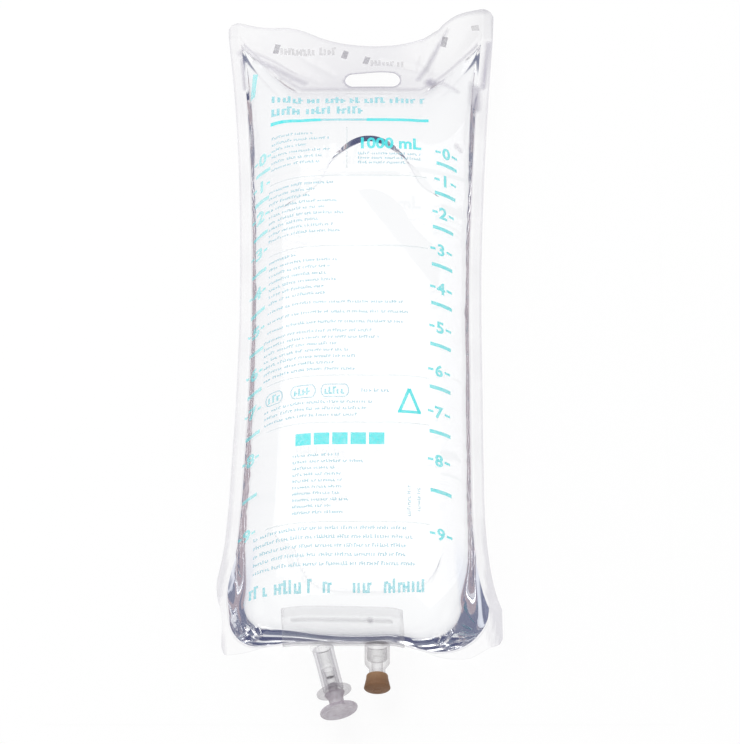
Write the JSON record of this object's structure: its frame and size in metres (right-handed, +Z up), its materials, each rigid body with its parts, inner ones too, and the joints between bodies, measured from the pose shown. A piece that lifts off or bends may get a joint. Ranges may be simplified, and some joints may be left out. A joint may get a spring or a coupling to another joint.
{
  "type": "iv fluid bag",
  "caption": "Clear filled infusion bag lying on its back, with a welded tail and hanger slot, a port saddle, a capped set port and a rubber-stoppered additive port.",
  "frame": {"origin": "under the middle of the bag's bounding box, on the surface that it lies on", "axes": "+X across the bag, +Y from the ports to the hanger slot, +Z up from the bag's back to its front"},
  "size_m": [0.1352, 0.387, 0.0435],
  "materials": {
    "film": "clear supple film, glossy",
    "liquid": "clear water-like liquid",
    "saddle": "milky moulded plastic",
    "soft_tube": "soft clear tube",
    "hard_port": "clear hard plastic",
    "cap": "frosted clear plastic",
    "neck": "clear hard plastic",
    "stopper": "matt brown rubber"
  },
  "bodies": {
    "bag": {"bag_film": "film", "saline": "liquid", "port_saddle": "saddle", "set_port_tube": "soft_tube", "set_port_sleeve": "hard_port", "additive_port_neck": "neck", "additive_port_stopper": "stopper"},
    "set_port_cap": {"set_port_cap": "cap"}
  },
  "joints": [
    {"name": "cap_pull", "type": "slide", "parent": "bag", "child": "set_port_cap", "axis": [0.2368, -0.9715, 0], "range_m": [0, 0.035]}
  ]
}
